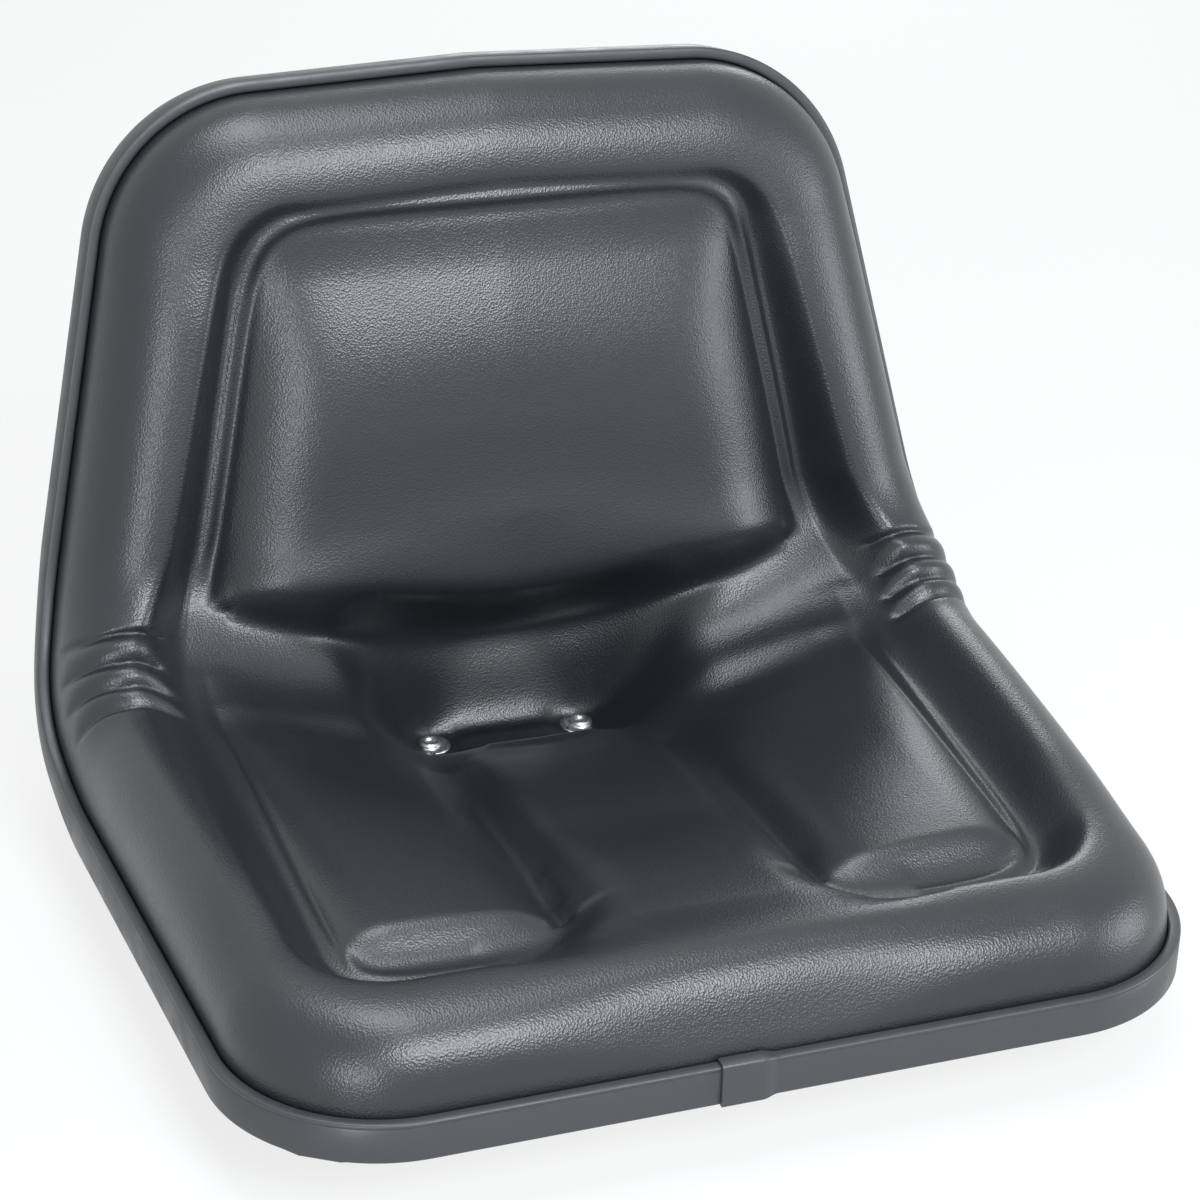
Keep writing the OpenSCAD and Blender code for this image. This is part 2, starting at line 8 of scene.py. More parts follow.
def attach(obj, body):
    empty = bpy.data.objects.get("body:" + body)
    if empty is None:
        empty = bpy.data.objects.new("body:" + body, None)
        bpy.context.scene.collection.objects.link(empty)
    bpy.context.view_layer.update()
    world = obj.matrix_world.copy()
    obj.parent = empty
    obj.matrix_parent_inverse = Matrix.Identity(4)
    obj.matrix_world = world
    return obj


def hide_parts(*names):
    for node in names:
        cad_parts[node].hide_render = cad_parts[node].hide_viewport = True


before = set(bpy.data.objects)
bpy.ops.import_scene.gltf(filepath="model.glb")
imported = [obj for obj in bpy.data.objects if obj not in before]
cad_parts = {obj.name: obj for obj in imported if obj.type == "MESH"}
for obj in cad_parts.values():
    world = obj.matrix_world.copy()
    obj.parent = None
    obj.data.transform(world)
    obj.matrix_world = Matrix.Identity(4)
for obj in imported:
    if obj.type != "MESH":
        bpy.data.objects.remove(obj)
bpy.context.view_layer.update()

# Studio. A white sweep, one large soft lamp overhead and a tall narrow one at the left front,
# as a small product is lit. The camera looks down on the seat from the left.
view_turn, view_down, view_roll = (math.radians(a) for a in (19.9968, 26.2979, 1.5602))
forward = Vector((math.sin(view_turn) * math.cos(view_down),
                  math.cos(view_turn) * math.cos(view_down), -math.sin(view_down)))
across = Vector((math.cos(view_turn), -math.sin(view_turn), 0))
upward = across.cross(forward)
cam_x = across * math.cos(view_roll) + upward * math.sin(view_roll)
cam_y = upward * math.cos(view_roll) - across * math.sin(view_roll)
camera_data = bpy.data.cameras.new("camera")
camera_data.sensor_width = 36
camera_data.lens = 91.653
camera_data.clip_start = 0.05
camera = bpy.data.objects.new("camera", camera_data)
camera.matrix_world = Matrix(((cam_x.x, cam_y.x, -forward.x, -0.44292), (cam_x.y, cam_y.y, -forward.y, -1.20378),
                              (cam_x.z, cam_y.z, -forward.z, 0.80235), (0, 0, 0, 1)))
bpy.context.collection.objects.link(camera)
bpy.context.scene.camera = camera
bpy.context.scene.view_settings.view_transform = "Standard"


def softbox(name, place, aim, width, height, watts, tint):
    lamp = bpy.data.lights.new(name, "AREA")
    lamp.shape = "RECTANGLE"
    lamp.size, lamp.size_y = width, height
    lamp.energy = watts
    lamp.color = tint
    holder = bpy.data.objects.new(name, lamp)
    holder.location = place
    holder.rotation_euler = (Vector(aim) - Vector(place)).to_track_quat("-Z", "Y").to_euler()
    bpy.context.collection.objects.link(holder)


softbox("front_softbox", (0.25, -1.60, 1.40), (0, 0.05, 0.2), 0.9, 0.75, 32, (0.90, 0.95, 1.0))
softbox("left_strip", (-1.05, -1.65, 0.50), (0, 0.1, 0.25), 0.3, 1.0, 11, (0.90, 0.95, 1.0))
softbox("right_softbox", (1.6, -0.75, 0.40), (0, 0.1, 0.2), 0.8, 0.8, 10, (0.92, 0.96, 1.0))
softbox("overhead_softbox", (-0.1, -0.08, 1.9), (0, -0.05, 0.1), 1.3, 0.75, 19, (0.92, 0.96, 1.0))
softbox("rear_softbox", (0.9, 1.9, 0.9), (0, 0.1, 0.2), 0.9, 0.7, 8, (0.92, 0.96, 1.0))


def seen_directly(nodes, links):
    """1 for what the camera, a mirror or glass shows, and 0 for the light that falls on things."""
    path = nodes.new("ShaderNodeLightPath")
    both = nodes.new("ShaderNodeMath")
    both.operation = "MAXIMUM"
    links.new(path.outputs["Is Camera Ray"], both.inputs[0])
    links.new(path.outputs["Is Glossy Ray"], both.inputs[1])
    three = nodes.new("ShaderNodeMath")
    three.operation = "MAXIMUM"
    links.new(both.outputs[0], three.inputs[0])
    links.new(path.outputs["Is Transmission Ray"], three.inputs[1])
    return three.outputs[0]


world = bpy.data.worlds.new("white_room")
bpy.context.scene.world = world
world.use_nodes = True
nodes, links = world.node_tree.nodes, world.node_tree.links
room = nodes["Background"]
room.inputs["Color"].default_value = (0.93, 0.96, 1.0, 1)
room.inputs["Strength"].default_value = 0.19
white = nodes.new("ShaderNodeBackground")
white.inputs["Color"].default_value = (1, 1, 1, 1)
white.inputs["Strength"].default_value = 1.0
pick = nodes.new("ShaderNodeMixShader")
links.new(seen_directly(nodes, links), pick.inputs["Fac"])
links.new(room.outputs[0], pick.inputs[1])
links.new(white.outputs[0], pick.inputs[2])
links.new(pick.outputs[0], nodes["World Output"].inputs["Surface"])

bm = bmesh.new()
bmesh.ops.create_grid(bm, x_segments=1, y_segments=1, size=6.0)
bmesh.ops.translate(bm, verts=bm.verts, vec=(0, 0, -0.0004))
floor_mesh = bpy.data.meshes.new("floor")
bm.to_mesh(floor_mesh)
bm.free()
floor = bpy.data.objects.new("floor", floor_mesh)
bpy.context.collection.objects.link(floor)
paper = bpy.data.materials.new("white_paper")
paper.use_nodes = True
nodes, links = paper.node_tree.nodes, paper.node_tree.links
nodes["Principled BSDF"].inputs["Base Color"].default_value = (0.9, 0.9, 0.9, 1)
nodes["Principled BSDF"].inputs["Roughness"].default_value = 0.9
glow = nodes.new("ShaderNodeEmission")
share = nodes.new("ShaderNodeMath")
share.operation = "MULTIPLY"
share.inputs[1].default_value = 0.8
links.new(seen_directly(nodes, links), share.inputs[0])
blend_white = nodes.new("ShaderNodeMixShader")
links.new(share.outputs[0], blend_white.inputs["Fac"])
links.new(nodes["Principled BSDF"].outputs[0], blend_white.inputs[1])
links.new(glow.outputs[0], blend_white.inputs[2])
clear = nodes.new("ShaderNodeBsdfTransparent")
facing = nodes.new("ShaderNodeNewGeometry")
one_sided = nodes.new("ShaderNodeMixShader")
links.new(facing.outputs["Backfacing"], one_sided.inputs["Fac"])
links.new(blend_white.outputs[0], one_sided.inputs[1])
links.new(clear.outputs[0], one_sided.inputs[2])
links.new(one_sided.outputs[0], nodes["Material Output"].inputs["Surface"])
floor.data.materials.append(paper)

# Seat pan. Pressed from sheet steel and painted black in a dip tank, with a slight orange peel
# and a sheen that varies in broad random patches. It carries everything else and is bolted through its floor.


def blank_material(name):
    material = bpy.data.materials.new(name)
    material.use_nodes = True
    tree = material.node_tree
    return material, tree, tree.nodes["Principled BSDF"]


def object_space(tree):
    return tree.nodes.new("ShaderNodeTexCoord").outputs["Object"]


def noise(tree, place, scale, detail=2.0, rough=0.5):
    texture = tree.nodes.new("ShaderNodeTexNoise")
    texture.inputs["Scale"].default_value = scale
    texture.inputs["Detail"].default_value = detail
    texture.inputs["Roughness"].default_value = rough
    tree.links.new(place, texture.inputs["Vector"])
    return texture.outputs["Fac"]


def spread(tree, value, low, high, out_low, out_high):
    ranged = tree.nodes.new("ShaderNodeMapRange")
    for socket, number in zip(("From Min", "From Max", "To Min", "To Max"), (low, high, out_low, out_high)):
        ranged.inputs[socket].default_value = number
    tree.links.new(value, ranged.inputs["Value"])
    return ranged.outputs["Result"]


def raised(tree, height, strength, distance, normal=None):
    bump = tree.nodes.new("ShaderNodeBump")
    bump.inputs["Strength"].default_value = strength
    bump.inputs["Distance"].default_value = distance
    tree.links.new(height, bump.inputs["Height"])
    if normal is not None:
        tree.links.new(normal, bump.inputs["Normal"])
    return bump.outputs["Normal"]


black_paint, tree, shader = blank_material("pan_steel")
shader.inputs["Base Color"].default_value = (0.012, 0.012, 0.013, 1)
shader.inputs["Roughness"].default_value = 0.34
place = object_space(tree)
tree.links.new(spread(tree, noise(tree, place, 9, 4), 0.3, 0.7, 0.26, 0.44), shader.inputs["Roughness"])
tree.links.new(raised(tree, noise(tree, place, 420, 2), 0.18, 0.0004), shader.inputs["Normal"])
bm = bmesh.new()
bm.from_mesh(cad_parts["seat_pan"].data)
bmesh.ops.remove_doubles(bm, verts=bm.verts, dist=1e-5)
pan_mesh = bpy.data.meshes.new("pressed_pan")
bm.to_mesh(pan_mesh)
bm.free()
pan_mesh.polygons.foreach_set("use_smooth", [True] * len(pan_mesh.polygons))
pan_mesh.set_sharp_from_angle(angle=math.radians(32))
pressed_pan = bpy.data.objects.new("pressed_pan", pan_mesh)
bpy.context.collection.objects.link(pressed_pan)
flats = pressed_pan.modifiers.new("flat_faces", "WEIGHTED_NORMAL")
flats.keep_sharp = True
flats.weight = 100
pressed_pan.data.materials.append(black_paint)
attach(pressed_pan, "root")
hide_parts("seat_pan")

# Rim. Every piece of the seat follows one bent outline: flat from the front edge, turned up on a
# radius, then straight up the back. u runs across, v along the bend, n towards the sitter. The
# outline is a few straight sides with rounded corners, from the middle of the front to the top.
seat_len, bend_r, turn, back_len = 276.0, 114.0, math.radians(79.3), 215.0
v_bend = seat_len
v_up = seat_len + bend_r * turn
v_top = v_up + back_len
v_hip = seat_len + bend_r * turn / 2
trim_wall, gap = 1.9, 0.3
trim_out = gap + trim_wall + gap + 1.5 + gap + trim_wall
half_front = 224 - trim_out
half_hip = 250 - trim_out
half_top = 187 - trim_out


def on_rim(u, v, n):
    """Millimetres on the bent rim to metres in the part's frame."""
    t = np.clip((v - seat_len) / bend_r, 0, turn)
    beyond = np.maximum(0, v - v_up)
    y = np.minimum(v, seat_len) + (bend_r - n) * np.sin(t) + beyond * math.cos(turn)
    z = bend_r - (bend_r - n) * np.cos(t) + beyond * math.sin(turn)
    return np.stack([u, y - 210, z + 52], axis=-1) / 1000


def smooth(x):
    x = np.clip(x, 0, 1)
    return x * x * (3 - 2 * x)


def mix(a, b, t):
    return a + (b - a) * t


def through(x, stations):
    """A smooth curve through stations of place and value."""
    xs, ys = np.array(stations, float).T
    slopes = np.zeros_like(ys)
    slopes[1:-1] = (ys[2:] - ys[:-2]) / (xs[2:] - xs[:-2])
    x = np.clip(x, xs[0], xs[-1])
    i = np.clip(np.searchsorted(xs, x, side="right") - 1, 0, len(xs) - 2)
    w = xs[i + 1] - xs[i]
    t = (x - xs[i]) / w
    return (ys[i] * (2 * t**3 - 3 * t**2 + 1) + slopes[i] * w * (t**3 - 2 * t**2 + t)
            + ys[i + 1] * (3 * t**2 - 2 * t**3) + slopes[i + 1] * w * (t**3 - t**2))


def half_outline(corners, step):
    """Points of half an outline. A corner is u, v, radius, points of its arc, points to the next."""
    arcs = []
    for k, (u, v, radius, turns, run) in enumerate(corners):
        here = np.array([u, v], float)
        if radius == 0:
            arcs.append([here])
            continue
        a = np.array(corners[k - 1][:2], float) - here
        b = np.array(corners[k + 1][:2], float) - here
        a, b = a / np.linalg.norm(a), b / np.linalg.norm(b)
        half = math.acos(a @ b) / 2
        middle = here + (a + b) / np.linalg.norm(a + b) * radius / math.sin(half)
        start = here + a * radius / math.tan(half) - middle
        end = here + b * radius / math.tan(half) - middle
        first = math.atan2(start[1], start[0])
        sweep = (math.atan2(end[1], end[0]) - first + math.pi) % (2 * math.pi) - math.pi
        angles = first + sweep * np.linspace(0, 1, turns * step + 1)
        arcs.append([middle + radius * np.array([math.cos(g), math.sin(g)]) for g in angles])
    points = []
    for k, arc in enumerate(arcs):
        points.extend(arc)
        if k + 1 < len(arcs):
            run = corners[k][4] * step
            points.extend(mix(arc[-1], arcs[k + 1][0], j / run) for j in range(1, run))
    return np.array(points)


def side_u(v):
    return float(np.interp(v, [0, v_hip, v_top], [half_front, half_hip, half_top]))


# Cushion. A formed vinyl skin, pressed hot into a mould and foamed from behind: a rolled bolster
# round three sides and the back, two thigh pads, a raised middle, a hollow behind it for the
# rivets, a back pad, and pleats where the skin is drawn in at the hips.
bolster_w, front_bolster_w, top_bolster_w, top_bow = 62.0, 65.0, 55.0, 6.0
runs = (6, 6, 5, 6, 8, 3, 3, 6, 6)
step = 10


def well_w(v):
    return np.interp(v, [0, v_hip, v_top - top_bolster_w],
                     [half_front - bolster_w + 14, half_hip - bolster_w - 4, half_top - bolster_w + 11])


rim_half = half_outline([(0, 0, 0, 0, runs[0]), (half_front, 0, 73, runs[1], runs[2]),
                         (side_u(v_bend), v_bend, 0, 0, runs[3]), (half_hip, v_hip, 200, runs[4], runs[5]),
                         (side_u(v_up), v_up, 0, 0, runs[6]), (half_top, v_top, 84, runs[7], runs[8]),
                         (0, v_top + top_bow, 0, 0, 0)], step)
well_half = half_outline([(0, front_bolster_w, 0, 0, runs[0]),
                          (half_front - bolster_w + 14, front_bolster_w, 30, runs[1], runs[2]),
                          (float(well_w(v_bend)), v_bend, 0, 0, runs[3]),
                          (half_hip - bolster_w - 4, v_hip + 6, 200, runs[4], runs[5]),
                          (float(well_w(v_up)), v_up, 0, 0, runs[6]),
                          (half_top - bolster_w + 11, v_top - top_bolster_w, 30, runs[7], runs[8]),
                          (0, v_top - top_bolster_w + top_bow, 0, 0, 0)], step)

# Heights of the floor along its middle, along its edge and in the hollow, and of the bolster
lumbar, pad_foot_v, back_v = v_bend + 68, v_bend + 88, v_bend + 125
mid_line = [(front_bolster_w, 19), (100, 17), (150, 14), (200, 8), (v_bend - 26, -2), (v_bend + 14, -14),
            (v_bend + 36, -27), (lumbar, -28), (pad_foot_v, -10), (back_v, 20), (v_up + 40, 25),
            (v_top - 90, 31), (v_top - 50, 39.4), (v_top, 40)]
edge_line = [(front_bolster_w, 20), (100, 24), (170, 29), (238, 34), (v_bend + 14, 36), (lumbar, 30),
             (pad_foot_v, 25), (back_v, 20), (v_up + 40, 24), (v_top - 90, 28), (v_top - 50, 37.5),
             (v_top, 38)]
hollow_line = [(v_bend + a, n) for a, n in (
    (24, -11.2), (32, -19.4), (38, -26.1), (43, -33.9), (46, -46.5), (51, -52.4), (58, -57.9), (65, -62.2),
    (70, -61.7), (75, -59.1), (80, -54.8), (85, -50.3), (90, -46.4), (94, -43.7), (98, -41.9),
    (101, -37.3), (105, -25.3), (109, -23.7), (113, -9.5), (117, 4.5), (121, 10.3), (126, 14.2),
    (133, 18.6), (141, 21.8), (149, 22))]
# How far the wall of the hollow runs in under the pad, along the bend
hollow_under = [(v_bend + a, d) for a, d in (
    (24, -0.2), (32, -0.9), (38, -1.6), (43, -2.1), (46, -1.6), (51, -0.7), (58, -0.5), (65, -0.8),
    (70, -2.2), (75, -2.8), (80, -3.3), (85, -3.4), (90, -3.1), (94, -1.9), (98, -1.2), (101, -0.3),
    (105, -3.9), (109, -8), (113, -15.3), (117, -23.6), (121, -21.6), (126, -17.8), (133, -11.2),
    (141, -4), (149, -1), (156, 0))]
pommel_h, pommel_half_w, thigh_pad_h, back_pad_h = 9.0, 52.0, 8.0, 10.0
pocket_r = 26.0


def floor_n(u, v):
    bulge = 2 - 1.05 * smooth((v - v_bend - 10) / 35)
    return mix(through(v, mid_line), through(v, edge_line), np.minimum(1, abs(u) / well_w(v)) ** bulge)


def roll_up(d, reach, power):
    """0 at the foot of a raised area and 1 on top of it, steep at the foot and rolling over."""
    return (1 - (1 - np.clip(d / reach, 0, 1)) ** power) ** (1 / power)


def soft_min(places, r):
    return -r * np.log(sum(np.exp(-d / r) for d in places))


def pommel(u, v):
    front = smooth((178 - v) / 88)
    half = pommel_half_w + 5 * front + 4 * smooth((105 - v) / 50)
    beyond = np.hypot(np.maximum(0, half + pocket_r - abs(u)), np.maximum(0, front_bolster_w + pocket_r - v)) - pocket_r
    return (pommel_h + 10 * front) * roll_up(beyond, 17 + 14 * front, 2) * smooth((v_bend + 42 - v) / 26)


def pommel_groove(u, v):
    return -4.5 * np.exp(-((abs(u) - 63) / 8.5) ** 2) * smooth((v - 92) / 34) * smooth((v_bend + 10 - v) / 90)


def thigh_pad(u, v):
    a = abs(u)
    rear = v_bend + 50 + 22 * ((a - 79) / 85) ** 2
    d = soft_min([a - 66, well_w(v) - 9 - a], 6)
    crown = 1 - 0.35 * ((a - 117) / 52) ** 2
    return ((thigh_pad_h + 4 * smooth((230 - v) / 130)) * roll_up(d, 24, 2) * crown
            * smooth((v - front_bolster_w - 15) / 18) * smooth((rear + 14 - v) / 76))


def in_hollow(u, v):
    """Narrow between the washers, and widening to the whole lumbar band above them."""
    wide = smooth((v - v_bend - 64) / 40)
    sides = 1 - smooth((abs(u) - mix(42, 6, wide)) / mix(52, 118, wide))
    return sides * smooth((v - v_bend - 18) / 12) * smooth((v_bend + 156 - v) / 20)


def hollow_shift(u, v):
    return in_hollow(u, v) * through(v, hollow_under)


def back_pad(u, v):
    half = well_w(v)
    inner = in_hollow(u, v_bend + 100.0)
    foot = pad_foot_v - 8 + 34 * np.minimum(1.2, abs(u) / 150) ** 2 + 25 * inner
    inside = soft_min([(half - abs(u) - 9) / 52, (v_top - top_bolster_w + top_bow - v - 8) / 88, (v - foot + 7) / 18], 0.13)
    rise = (1 - np.clip(1 - inside, 0, 1) ** 2.3) * smooth((inside + 0.03) / 0.13)
    dome = 1 - 0.5 * (u / half) ** 2 - 1.3 * (np.maximum(0, v - v_bend - 185) / 122) ** 2
    return (back_pad_h + 4 + 9 * dome + 3 * smooth((v_up + 20 - v) / 60)) * rise * roll_up((v - foot) * (0.9 + 1.1 * inner), 24, 2.2)


def piping(u, v):
    """A low raised line just inside the bolster's foot, round each pocket and the back pad."""
    back = soft_min([well_w(v) - abs(u), v_top - top_bolster_w + top_bow - v], 14)
    seat = soft_min([well_w(v) - abs(u), abs(u) - 60, v - front_bolster_w], 14)
    line = [np.exp(-((d - 5) / 2.6) ** 2) for d in (seat, back)]
    return 1.8 * (line[0] * smooth((v_bend + 30 - v) / 60) + line[1] * smooth((v - v_up + 30) / 40))


def well_n(u, v):
    return (mix(floor_n(u, v), through(v, hollow_line), in_hollow(u, v))
            + pommel(u, v) + pommel_groove(u, v) + thigh_pad(u, v) + back_pad(u, v) + piping(u, v)
            + 2.4 * np.exp(-((v - v_bend - 61) / 2.4) ** 2) * (1 - smooth((abs(u) - 20) / 9)))


# Across the front bolster in the middle, where it is level with the pommel
saddle_line = [(0, 0), (1, 4), (4, 10.5), (8, 18.5), (12, 25.5), (17, 32), (23, 37), (31, 39.8), (43, 40.6), (56, 40.2), (65, 39.8)]


def bolster_n(x, w, crest, foot, place, saddle):
    c = w * place
    s = np.clip((x - c) / (w - c), 0, 1)
    outer = crest * (1 - np.clip(1 - x / c, 0, 1) ** 2.2) ** (1 / 2.2)
    ring = np.where(x <= c, outer, crest - (crest - foot) * s * s * (2.7 - 1.7 * s))
    return mix(ring, through(x * 65 / w, saddle_line) - (39.8 - foot) * smooth((x / w - 0.45) / 0.55), saddle)


# Place of the crest between the rim and the foot: nearer the foot up the back
crest_place = [(0, 0.6), (90, 0.6), (180, 0.5), (v_bend + 20, 0.48), (v_up, 0.66), (v_top - 90, 0.78), (v_top - 50, 0.86)]
crest_line = [(70, 40), (150, 47.5), (v_bend + 40, 51), (v_up, 49), (v_top - 110, 46), (v_top - 60, 41.5)]

# Rounded ribs between four drawn-in creases, which end in a line inside the crest
pleat_v, pleat_h, pleat_end = (302, 327, 351, 377), 4.5, 54.0


def pleats(x, v):
    bent = v - 10 * smooth((30 - x) / 26) * np.clip((370 - v) / 60, -1, 1) + 4 * smooth((x - 30) / 24)
    place = np.interp(bent, [280, *pleat_v, 392], [-1, 0, 1, 2, 3, 4])
    rib = abs(np.sin(math.pi * place)) ** 0.7
    inside = (place > 0) & (place < 3)
    rise = np.where(inside, rib * 1.5, 0)
    dip = np.where(inside, 1 - rib, np.clip(1 - abs(place - np.clip(place, 0, 3)) / 0.3, 0, 1) ** 2)
    return (rise - pleat_h * dip) * smooth((pleat_end - x) / 5) * smooth((x - 1) / 5)


well_cells = (160, 236)
bolster_rings = 40
skirt_rings = 4
ring_step = 0.01
bm = bmesh.new()
bmesh.ops.create_grid(bm, x_segments=well_cells[0], y_segments=well_cells[1], size=1.0)
edges = [e for e in bm.edges if e.is_boundary]
for ring in range(bolster_rings + skirt_rings):
    made = bmesh.ops.extrude_edge_only(bm, edges=edges)["geom"]
    grow = (1 + ring_step * (ring + 1)) / (1 + ring_step * ring)
    bmesh.ops.scale(bm, vec=(grow, grow, 1), verts=[g for g in made if isinstance(g, bmesh.types.BMVert)])
    edges = [g for g in made if isinstance(g, bmesh.types.BMEdge) and g.is_boundary]
flat = np.array([v.co[:2] for v in bm.verts])

# The square's own edge runs along the well: its corners are the middles of the rounded corners.
# Rows are drawn together where the floor drops into the hollow.
front_end = (runs[0] + runs[1] / 2) * step
top_end = (sum(runs) - runs[8] - runs[7] / 2) * step
count = len(well_half) - 1
along = np.concatenate([[0], np.cumsum(np.linalg.norm(np.diff(well_half, axis=0), axis=1))])
index = np.arange(count + 1)
even = np.linspace(0, 1, 201)
closeness = 1 + 2.2 * np.exp(-((even - 0.54) / 0.07) ** 2)
drawn = np.concatenate([[0], np.cumsum((closeness[1:] + closeness[:-1]) / 2)])
drawn /= drawn[-1]


def edge_place(x, y):
    """Index along the half outline for a point on the square's edge."""
    a, b = np.interp([front_end, top_end], index, along)
    far = np.where(y <= -1 + 1e-6, abs(x) * a, np.where(y >= 1 - 1e-6, along[-1] - abs(x) * (along[-1] - b),
                   mix(a, b, np.interp((y + 1) / 2, drawn, even))))
    return np.interp(far, along, index)


def on_loop(half, x, y):
    i = edge_place(x, y)
    u = np.interp(i, index, half[:, 0]) * np.where(x < 0, -1, 1)
    return np.stack([u, np.interp(i, index, half[:, 1])], axis=-1)


def drawn_out(x):
    """The same line of points with more of them near its ends."""
    return x + 0.4 * np.sin(math.pi * x) / math.pi


x, y = flat[:, 0], flat[:, 1]
reach = np.maximum(abs(x), abs(y))
inner = reach <= 1 + 1e-5
xc, yc = drawn_out(np.clip(x, -1, 1)), drawn_out(np.clip(y, -1, 1))
a, b = ((xc + 1) / 2)[:, None], np.interp((yc + 1) / 2, drawn, even)[:, None]
one = np.ones_like(x)
corner = {(i, j): on_loop(well_half, i * one, j * one) for i in (-1, 1) for j in (-1, 1)}
patch = (mix(on_loop(well_half, xc, -one), on_loop(well_half, xc, one), b)
         + mix(on_loop(well_half, -one, yc), on_loop(well_half, one, yc), a)
         - mix(mix(corner[-1, -1], corner[1, -1], a), mix(corner[-1, 1], corner[1, 1], a), b))
safe = np.maximum(reach, 1)
xe, ye = drawn_out(x / safe), drawn_out(y / safe)
well_at, rim_at = on_loop(well_half, xe, ye), on_loop(rim_half, xe, ye)
ring = (safe - 1) / ring_step
t = 1 - np.clip(ring / bolster_rings, 0, 1)
width = np.linalg.norm(well_at - rim_at, axis=1)
across_bolster = t ** 1.15
uv = np.where(inner[:, None], patch, mix(rim_at, well_at, across_bolster[:, None]))
crest, crest_at = through(well_at[:, 1], crest_line), through(well_at[:, 1], crest_place)
saddle = (1 - smooth((abs(well_at[:, 0]) - 22) / 88)) * (well_at[:, 1] < v_bend)
on_bolster = bolster_n(across_bolster * width, width, crest, well_n(well_at[:, 0], well_at[:, 1]), crest_at, saddle)
n = np.where(inner, well_n(uv[:, 0], uv[:, 1]), on_bolster + pleats(across_bolster * width, uv[:, 1]))
n = n - np.maximum(0, ring - bolster_rings) * 2.0
place = on_rim(uv[:, 0], uv[:, 1] + np.where(inner, hollow_shift(uv[:, 0], uv[:, 1]), 0), n)

# The skin is drawn level under each washer
rivet_x, rivet_y, washer_low, washer_r = 0.042, 0.155, 0.0145, 0.011
away = np.hypot(np.hypot(abs(place[:, 0]) - rivet_x, place[:, 1] - rivet_y),
                np.maximum(0, abs(place[:, 2] - washer_low) - 0.004))
place[:, 2] = mix(place[:, 2], washer_low, smooth((washer_r + 0.008 - away) / 0.006))
for vertex, spot in zip(bm.verts, place):
    vertex.co = spot
loose = [v for v in bm.verts if not v.is_boundary]
for _ in range(2):
    bmesh.ops.smooth_vert(bm, verts=loose, factor=0.5, use_axis_x=True, use_axis_y=True, use_axis_z=True)
soft_places = [vertex for vertex, q in zip(bm.verts, uv) if not vertex.is_boundary
               and (v_bend + 5 < q[1] < v_up and 30 < abs(q[0]) < 150 or v_bend + 70 < q[1] < v_up and abs(q[0]) <= 30
                    or 40 < q[1] < 92 and 36 < abs(q[0]) < 104)]
for _ in range(24):
    bmesh.ops.smooth_vert(bm, verts=soft_places, factor=0.5, use_axis_x=True, use_axis_y=True, use_axis_z=True)
bmesh.ops.recalc_face_normals(bm, faces=bm.faces)
cushion_mesh = bpy.data.meshes.new("cushion")
bm.to_mesh(cushion_mesh)
bm.free()
cushion_mesh.polygons.foreach_set("use_smooth", [True] * len(cushion_mesh.polygons))
cushion = bpy.data.objects.new("cushion", cushion_mesh)
bpy.context.collection.objects.link(cushion)

vinyl, tree, shader = blank_material("vinyl")
shader.inputs["Base Color"].default_value = (0.0170, 0.0182, 0.0214, 1)
shader.inputs["Roughness"].default_value = 0.3
shader.inputs["Specular IOR Level"].default_value = 0.62
place = object_space(tree)
warp = tree.nodes.new("ShaderNodeVectorMath")
warp.operation = "MULTIPLY_ADD"
wobble = tree.nodes.new("ShaderNodeTexNoise")
wobble.inputs["Scale"].default_value = 700
tree.links.new(place, wobble.inputs["Vector"])
tree.links.new(wobble.outputs["Color"], warp.inputs[0])
warp.inputs[1].default_value = (0.0006, 0.0006, 0.0006)
tree.links.new(place, warp.inputs[2])
cells = tree.nodes.new("ShaderNodeTexVoronoi")
cells.inputs["Scale"].default_value = 960
tree.links.new(warp.outputs["Vector"], cells.inputs["Vector"])
tree.links.new(raised(tree, cells.outputs["Distance"], 0.33, 0.00036), shader.inputs["Normal"])
tree.links.new(spread(tree, noise(tree, place, 14, 4), 0.3, 0.7, 0.27, 0.34), shader.inputs["Roughness"])
cushion.data.materials.append(vinyl)
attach(cushion, "root")
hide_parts("vinyl_cover", "foam_core")

# Fasteners. A dished bright-plated washer and a domed hollow rivet on each side of the hollow hold
# skin, foam and pan together; four weld nuts inside take the bolts from below.
bright_steel, tree, shader = blank_material("bright_steel")
shader.inputs["Base Color"].default_value = (0.86, 0.87, 0.88, 1)
shader.inputs["Metallic"].default_value = 1.0
place = object_space(tree)
tree.links.new(spread(tree, noise(tree, place, 600, 3), 0.3, 0.7, 0.24, 0.4), shader.inputs["Roughness"])
zinc_steel, tree, shader = blank_material("zinc_steel")
shader.inputs["Metallic"].default_value = 1.0
place = object_space(tree)
tint = tree.nodes.new("ShaderNodeMix")
tint.data_type = "RGBA"
tint.inputs["A"].default_value = (0.72, 0.73, 0.75, 1)
tint.inputs["B"].default_value = (0.85, 0.86, 0.87, 1)
tree.links.new(noise(tree, place, 350, 3), tint.inputs["Factor"])
tree.links.new(tint.outputs["Result"], shader.inputs["Base Color"])
tree.links.new(spread(tree, noise(tree, place, 500, 3), 0.3, 0.7, 0.28, 0.46), shader.inputs["Roughness"])
for node, finish in (("left_washer", bright_steel), ("right_washer", bright_steel), ("weld_nuts", zinc_steel),
                     ("left_rivet", bright_steel), ("right_rivet", bright_steel)):
    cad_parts[node].data.materials.clear()
    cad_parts[node].data.materials.append(finish)

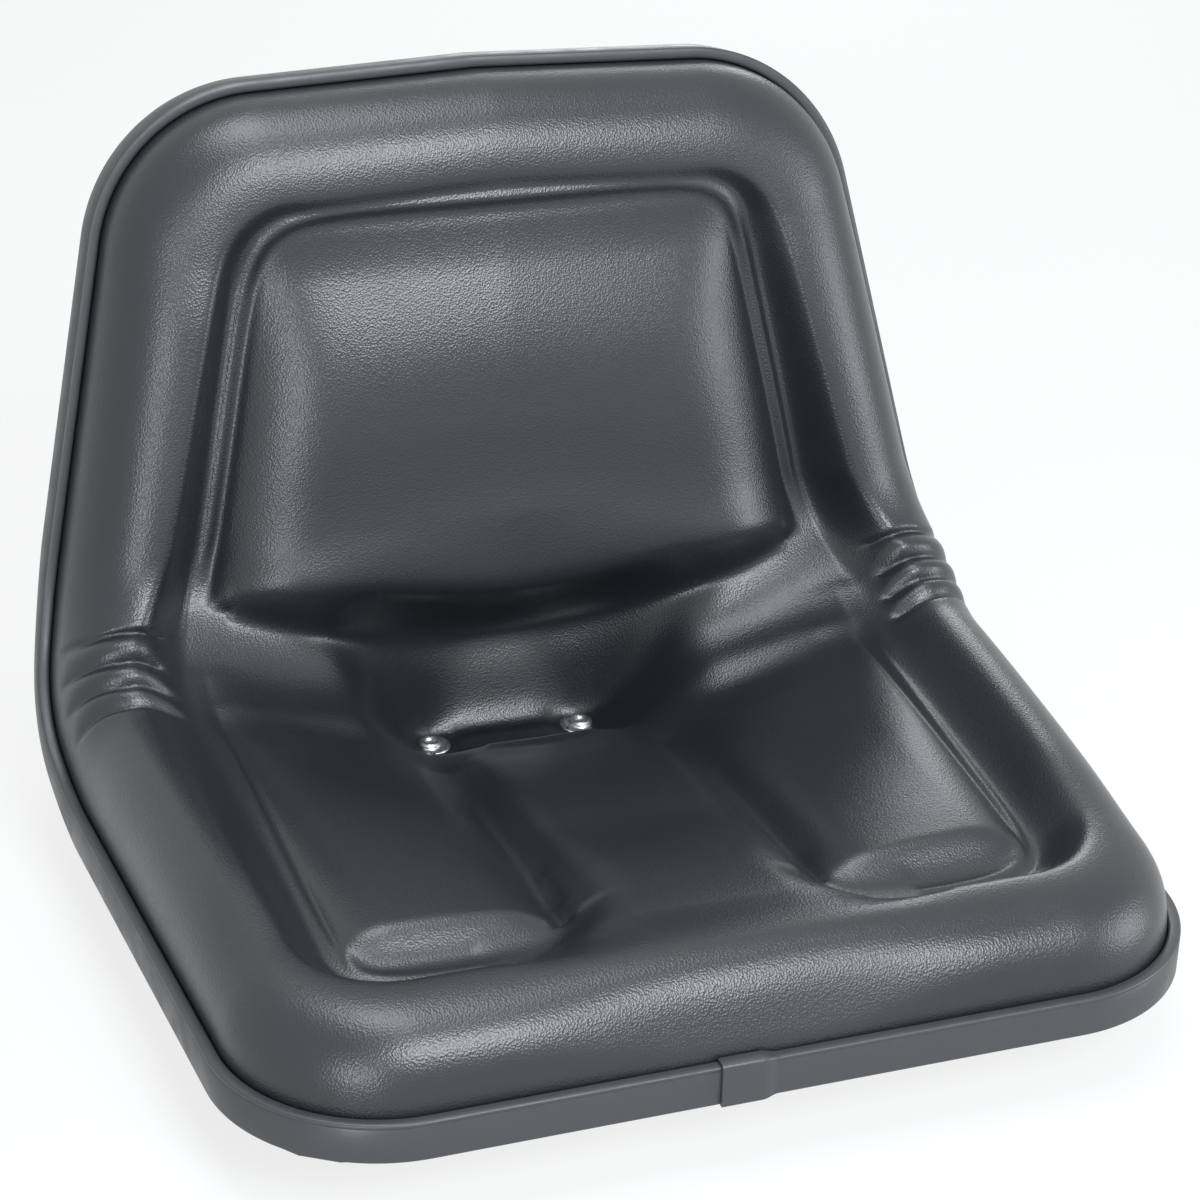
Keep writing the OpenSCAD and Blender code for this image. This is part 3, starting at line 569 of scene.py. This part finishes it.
# Edge trim. One extruded U strip of black plastic, pushed over the upturned lip of the pan all
# round. It starts as a raised end just left of the middle and finishes under that end.
lap_at, lap_len = -4.0, 19.0
trim_half = half_outline([(0, 0, 0, 0, 2), (half_front, 0, 73, 10, 3), (side_u(v_bend - 6), v_bend - 6, 0, 0, 6),
                          (half_hip, v_hip, 200, 6, 6), (side_u(v_up + 6), v_up + 6, 0, 0, 3),
                          (half_top, v_top, 84, 10, 2), (0, v_top + top_bow, 0, 0, 0)], 4)
# Section as distance out from the rim and height: the plain strip, and its raised end
strip = [(6.2, -17), (6.2, -1.4), (5.9, -1.0), (5.8, -0.6), (6.0, -0.2), (6.2, 0.3), (6.15, 0.8), (5.8, 1.3), (5.2, 1.6),
         (1.8, 1.6), (1.1, 1.4), (0.6, 1.0), (0.3, 0.4), (0.3, -8), (1.5, -8), (1.5, -0.9), (4.3, -0.9), (4.3, -17)]
raised_end = [(8.25, -17.4), (8.25, 0.4), (8.22, 0.8), (8.18, 1.2), (8.1, 1.6), (8.0, 2.0), (7.75, 2.5), (7.3, 3.0),
              (6.6, 3.45), (2.3, 3.45), (1.2, 3.2), (0.75, 2.7), (0.65, 2.3), (0.8, 1.95), (1.3, 1.78), (6.35, 1.78),
              (6.35, 1.5), (6.35, -17.4)]
lap_u = np.concatenate([np.linspace(lap_at - lap_len, lap_at, 9), np.linspace(lap_at, lap_at + 9, 10)[1:]])
loop = np.concatenate([trim_half, trim_half[-2:0:-1] * [-1, 1]])
loop = loop[(loop[:, 1] > 1e-6) | (loop[:, 0] > lap_at + 12) | (loop[:, 0] < lap_at)]
path = np.concatenate([np.stack([lap_u, 0 * lap_u], axis=-1), loop, [[lap_at, 0]]])
ahead = np.concatenate([path[1:], path[-1:]]) - np.concatenate([path[:1], path[:-1]])
ahead[:len(lap_u)] = ahead[-1] = (1, 0)
ahead /= np.linalg.norm(ahead, axis=1)[:, None]
out_way = np.stack([ahead[:, 1], -ahead[:, 0]], axis=-1)
lift = np.concatenate([1 - smooth((lap_u - lap_at) / 8), np.zeros(len(path) - len(lap_u))])
bm = bmesh.new()
bmesh.ops.create_grid(bm, x_segments=len(strip), y_segments=len(path) - 1, size=1.0)
spots = np.array([v.co[:2] for v in bm.verts])
column = np.rint((spots[:, 0] + 1) / 2 * len(strip)).astype(int) % len(strip)
row = np.rint((spots[:, 1] + 1) / 2 * (len(path) - 1)).astype(int)
section = mix(np.array(strip)[column], np.array(raised_end)[column], lift[row][:, None])
at = path[row] + out_way[row] * section[:, :1]
for vertex, spot in zip(bm.verts, on_rim(at[:, 0], at[:, 1], section[:, 1])):
    vertex.co = spot
bmesh.ops.remove_doubles(bm, verts=bm.verts, dist=1e-6)
bmesh.ops.holes_fill(bm, edges=[e for e in bm.edges if e.is_boundary], sides=0)
bmesh.ops.triangulate(bm, faces=[f for f in bm.faces if len(f.verts) > 4])
bmesh.ops.recalc_face_normals(bm, faces=bm.faces)
trim_mesh = bpy.data.meshes.new("edge_strip")
bm.to_mesh(trim_mesh)
bm.free()
trim_mesh.polygons.foreach_set("use_smooth", [True] * len(trim_mesh.polygons))
trim_mesh.set_sharp_from_angle(angle=math.radians(40))
edge_strip = bpy.data.objects.new("edge_strip", trim_mesh)
bpy.context.collection.objects.link(edge_strip)
trim_plastic, tree, shader = blank_material("trim_plastic")
shader.inputs["Base Color"].default_value = (0.046, 0.047, 0.05, 1)
place = object_space(tree)
tree.links.new(spread(tree, noise(tree, place, 60, 4), 0.3, 0.7, 0.3, 0.46), shader.inputs["Roughness"])
tree.links.new(raised(tree, noise(tree, place, 700, 2), 0.2, 0.0003), shader.inputs["Normal"])
edge_strip.data.materials.append(trim_plastic)
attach(edge_strip, "root")
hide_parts("edge_trim")
